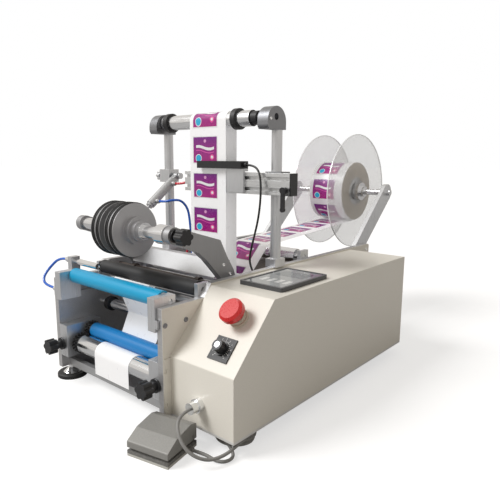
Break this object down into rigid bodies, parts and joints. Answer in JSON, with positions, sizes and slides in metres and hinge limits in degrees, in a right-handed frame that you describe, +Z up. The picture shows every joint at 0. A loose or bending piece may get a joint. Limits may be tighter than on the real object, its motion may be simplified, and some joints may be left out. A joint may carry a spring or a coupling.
{
  "type": "bottle labelling machine",
  "caption": "Semi-automatic round-bottle labelling machine: roller bed with press wheel, label reel and web path, sensor rail, air cylinder, control box and foot pedal.",
  "frame": {"origin": "middle of the footprint on the table, under the feet, without the loose cords", "axes": "+Z up, -Y towards the operator at the front (roller bed and foot pedal), +X towards the control box, +Y towards the label reel"},
  "size_m": [0.5182, 1.0016, 0.52],
  "materials": {
    "silver_aluminium": "satin anodised",
    "bright_steel": "polished",
    "brushed_sheet": "brushed",
    "cream_enamel": "satin powder coat",
    "dark_sheet": "satin",
    "black_plastic": "matte",
    "red_plastic": "gloss",
    "grey_plastic": "matte",
    "blue_sleeve": "satin",
    "black_rubber": "matte",
    "clear_plastic": "clear gloss",
    "label_film": "satin",
    "grey_enamel": "hammered",
    "grey_cord": "matte",
    "black_cord": "matte",
    "red_tubing": "gloss",
    "blue_tubing": "gloss"
  },
  "bodies": {
    "frame": {"side_plate_left": "silver_aluminium", "side_plate_right": "silver_aluminium", "base_plate": "cream_enamel", "deck_plate": "dark_sheet", "housing_cover": "cream_enamel", "control_panel": "black_plastic", "estop_collar": "black_plastic", "dial_plate": "black_plastic", "line_fittings": "bright_steel", "foot_pads": "black_plastic", "foot_studs": "bright_steel", "gantry_posts": "bright_steel", "top_blocks": "silver_aluminium", "peel_plate": "brushed_sheet", "guide_rods": "black_plastic", "bearing_blocks": "silver_aluminium", "reel_arms": "silver_aluminium", "cylinder_clamp": "silver_aluminium", "nozzle_clamp": "silver_aluminium", "air_nozzle": "bright_steel", "pedal_base": "grey_enamel", "label_web": "label_film", "pedal_cable": "grey_cord", "pedal_cable_coil": "grey_cord", "sensor_cable": "black_cord", "red_tube": "red_tubing", "blue_tube": "blue_tubing", "nozzle_hose": "blue_tubing", "drive_motor": "dark_sheet"},
    "estop_button": {"estop_plunger": "grey_plastic"},
    "estop_cap": {"estop_head": "red_plastic"},
    "speed_dial": {"speed_knob": "black_plastic"},
    "front_carriage": {"slide_blocks": "silver_aluminium"},
    "front_support": {"upper_roller": "blue_sleeve"},
    "rear_support": {"black_roller": "black_rubber"},
    "traction": {"traction_roller": "bright_steel"},
    "nip": {"nip_roller": "blue_sleeve"},
    "inner_guide": {"inner_guide_roller": "silver_aluminium"},
    "rear_guide": {"rear_guide_roller": "silver_aluminium"},
    "low_guide": {"low_guide_roller": "silver_aluminium"},
    "top_guide": {"top_roller": "bright_steel"},
    "reel": {"reel_shaft": "bright_steel", "reel_discs": "clear_plastic", "label_roll": "label_film"},
    "press_arm": {"press_arms": "silver_aluminium", "arm_shafts": "bright_steel", "cross_brace": "brushed_sheet"},
    "press_wheel": {"wheel_discs": "silver_aluminium", "wheel_rings": "black_rubber"},
    "press_clamp": {"arm_knob": "black_plastic"},
    "air_barrel": {"cylinder_barrel": "silver_aluminium"},
    "air_rod": {"cylinder_rod": "bright_steel"},
    "rail_carriage": {"sensor_rail": "silver_aluminium", "rail_clamp": "silver_aluminium"},
    "rail_grip": {"rail_lever": "black_plastic"},
    "sensor_head": {"sensor_bracket": "silver_aluminium", "fork_sensor": "black_plastic"},
    "treadle": {"pedal_treadle": "grey_enamel"},
    "knob_left": {"star_knob_left": "black_plastic"},
    "knob_right": {"star_knob_right": "black_plastic"}
  },
  "joints": [
    {"name": "estop_push", "type": "slide", "parent": "frame", "child": "estop_button", "axis": [0, 0.7258, -0.688], "range_m": [0, 0.004], "stiffness_N_per_m": 900, "springref_m": -0.003},
    {"name": "estop_twist", "type": "hinge", "parent": "estop_button", "child": "estop_cap", "pos_m": [0.2151, -0.35021, 0.18735], "axis": [0, -0.7258, 0.688], "range_deg": [-35, 0], "stiffness_Nm_per_rad": 0.06, "springref_deg": 11.46},
    {"name": "speed_turn", "type": "hinge", "parent": "frame", "child": "speed_dial", "pos_m": [0.2151, -0.38641, 0.14916], "axis": [0, -0.7258, 0.688], "range_deg": [-140, 140]},
    {"name": "carriage_slide", "type": "slide", "parent": "frame", "child": "front_carriage", "axis": [0, 1, 0], "range_m": [-0.012, 0.008]},
    {"name": "front_support_spin", "type": "hinge", "parent": "front_carriage", "child": "front_support", "pos_m": [-0.0279, -0.39721, 0.205], "axis": [1, 0, 0], "continuous": true},
    {"name": "rear_support_spin", "type": "hinge", "parent": "frame", "child": "rear_support", "pos_m": [-0.0279, -0.32721, 0.211], "axis": [1, 0, 0], "continuous": true},
    {"name": "traction_spin", "type": "hinge", "parent": "frame", "child": "traction", "pos_m": [-0.0279, -0.39721, 0.073], "axis": [1, 0, 0], "continuous": true},
    {"name": "nip_spin", "type": "hinge", "parent": "frame", "child": "nip", "pos_m": [-0.0279, -0.37325, 0.09598], "axis": [1, 0, 0], "continuous": true},
    {"name": "inner_guide_spin", "type": "hinge", "parent": "frame", "child": "inner_guide", "pos_m": [-0.0279, -0.32721, 0.137], "axis": [1, 0, 0], "continuous": true},
    {"name": "rear_guide_spin", "type": "hinge", "parent": "frame", "child": "rear_guide", "pos_m": [-0.0279, -0.12661, 0.174], "axis": [1, 0, 0], "continuous": true},
    {"name": "low_guide_spin", "type": "hinge", "parent": "frame", "child": "low_guide", "pos_m": [-0.0279, -0.03121, 0.224], "axis": [1, 0, 0], "continuous": true},
    {"name": "top_guide_spin", "type": "hinge", "parent": "frame", "child": "top_guide", "pos_m": [-0.0279, -0.15721, 0.5], "axis": [1, 0, 0], "continuous": true},
    {"name": "reel_spin", "type": "hinge", "parent": "frame", "child": "reel", "pos_m": [-0.0279, 0.34879, 0.342], "axis": [1, 0, 0], "continuous": true},
    {"name": "press_arm_lift", "type": "hinge", "parent": "frame", "child": "press_arm", "pos_m": [-0.0319, -0.24121, 0.199], "axis": [1, 0, 0], "range_deg": [-15, 8]},
    {"name": "press_wheel_spin", "type": "hinge", "parent": "press_arm", "child": "press_wheel", "pos_m": [-0.0279, -0.37421, 0.304], "axis": [1, 0, 0], "continuous": true},
    {"name": "press_clamp_turn", "type": "hinge", "parent": "press_arm", "child": "press_clamp", "pos_m": [0.1181, -0.37421, 0.304], "axis": [1, 0, 0], "range_deg": [-180, 180]},
    {"name": "cylinder_swing", "type": "hinge", "parent": "frame", "child": "air_barrel", "pos_m": [-0.1569, -0.14021, 0.388], "axis": [1, 0, 0], "range_deg": [-6, 8], "deforming": ["red_tube", "blue_tube"]},
    {"name": "rod_slide", "type": "slide", "parent": "air_barrel", "child": "air_rod", "axis": [0, -0.788, -0.6156], "range_m": [-0.026, 0.016]},
    {"name": "rail_height", "type": "slide", "parent": "frame", "child": "rail_carriage", "axis": [0, 0, 1], "range_m": [-0.06, 0.05], "deforming": ["sensor_cable"]},
    {"name": "rail_lever_turn", "type": "hinge", "parent": "rail_carriage", "child": "rail_grip", "pos_m": [0.1641, -0.17721, 0.37], "axis": [0, 1, 0], "range_deg": [-60, 40]},
    {"name": "sensor_slide", "type": "slide", "parent": "rail_carriage", "child": "sensor_head", "axis": [1, 0, 0], "range_m": [-0.003, 0.03]},
    {"name": "treadle_press", "type": "hinge", "parent": "frame", "child": "treadle", "pos_m": [0.15569, -0.43353, 0.019], "axis": [0.9781, 0.2079, 0], "range_deg": [0, 3], "stiffness_Nm_per_rad": 8, "springref_deg": -2.86},
    {"name": "knob_left_turn", "type": "hinge", "parent": "frame", "child": "knob_left", "pos_m": [-0.1719, -0.45121, 0.074], "axis": [0, 1, 0], "range_deg": [-180, 180]},
    {"name": "knob_right_turn", "type": "hinge", "parent": "frame", "child": "knob_right", "pos_m": [0.1081, -0.45121, 0.074], "axis": [0, 1, 0], "range_deg": [-180, 180]}
  ],
  "couplings": [
    {"joint": "nip_spin", "follows": "traction_spin", "ratio": -1.2857},
    {"joint": "inner_guide_spin", "follows": "traction_spin", "ratio": 1.8},
    {"joint": "rear_guide_spin", "follows": "traction_spin", "ratio": -1.2},
    {"joint": "low_guide_spin", "follows": "traction_spin", "ratio": 1.2},
    {"joint": "top_guide_spin", "follows": "traction_spin", "ratio": 1.2},
    {"joint": "reel_spin", "follows": "traction_spin", "ratio": -0.23077},
    {"joint": "cylinder_swing", "follows": "press_arm_lift", "ratio": -0.271},
    {"joint": "rod_slide", "follows": "press_arm_lift", "m_per_rad": 0.0825}
  ]
}
